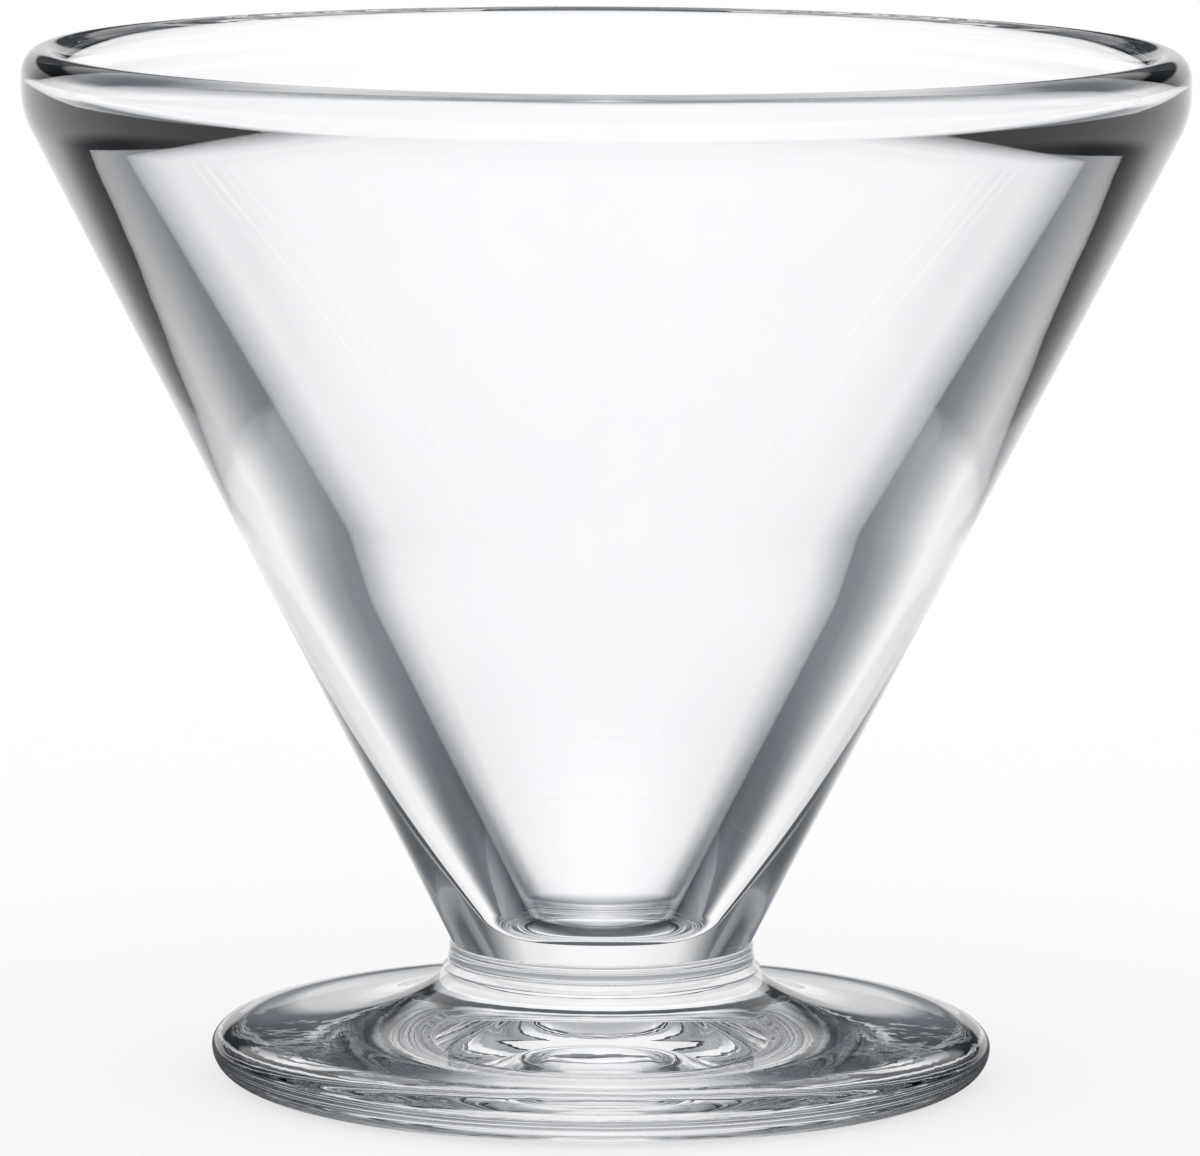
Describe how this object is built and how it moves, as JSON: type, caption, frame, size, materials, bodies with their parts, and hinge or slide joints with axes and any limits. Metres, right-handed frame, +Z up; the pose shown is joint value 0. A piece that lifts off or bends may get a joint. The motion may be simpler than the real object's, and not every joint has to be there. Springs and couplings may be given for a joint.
{
  "type": "dessert bowl",
  "caption": "Footed conical dessert bowl in thick clear glass, with a rounded lip, a ringed neck and a round flared foot, for serving ice cream, fruit or pudding.",
  "frame": {"origin": "centre of the flat ring that the foot stands on, on the table", "axes": "+Z up along the axis that the whole bowl is turned about; X and Y are level, with -Y towards the picture's camera"},
  "size_m": [0.105, 0.105, 0.0935],
  "materials": {
    "clear_glass": "clear pressed glass, fire-polished"
  },
  "bodies": {
    "root": {"bowl": "clear_glass", "neck_ring": "clear_glass", "foot": "clear_glass"}
  },
  "joints": []
}
